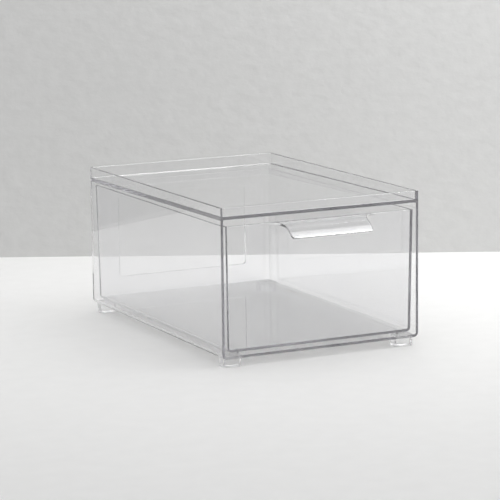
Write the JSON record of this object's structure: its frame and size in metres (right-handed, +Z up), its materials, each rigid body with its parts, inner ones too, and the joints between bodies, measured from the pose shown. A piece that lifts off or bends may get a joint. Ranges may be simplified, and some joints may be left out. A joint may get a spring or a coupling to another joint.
{
  "type": "fridge bin",
  "caption": "Clear stackable storage bin for a fridge shelf: an open-fronted casing with a raised stacking rim and feet, and a pull-out drawer with a curved pull lip.",
  "frame": {"origin": "middle of the footprint, pull lip included, on the surface that the feet stand on", "axes": "-Y is the front that the drawer pulls out of, +X is the right side seen from the front, +Z is up"},
  "size_m": [0.21, 0.3318, 0.1512],
  "materials": {
    "casing_plastic": "clear polished moulded polystyrene",
    "drawer_plastic": "clear polished moulded polystyrene",
    "foot_plastic": "clear moulded polystyrene, slightly hazy"
  },
  "bodies": {
    "casing": {"casing": "casing_plastic", "front_left_foot": "foot_plastic", "front_right_foot": "foot_plastic", "back_left_foot": "foot_plastic", "back_right_foot": "foot_plastic"},
    "drawer": {"drawer": "drawer_plastic"}
  },
  "joints": [
    {"name": "drawer_slide", "type": "slide", "parent": "casing", "child": "drawer", "axis": [0, -1, 0], "range_m": [0, 0.24]}
  ]
}
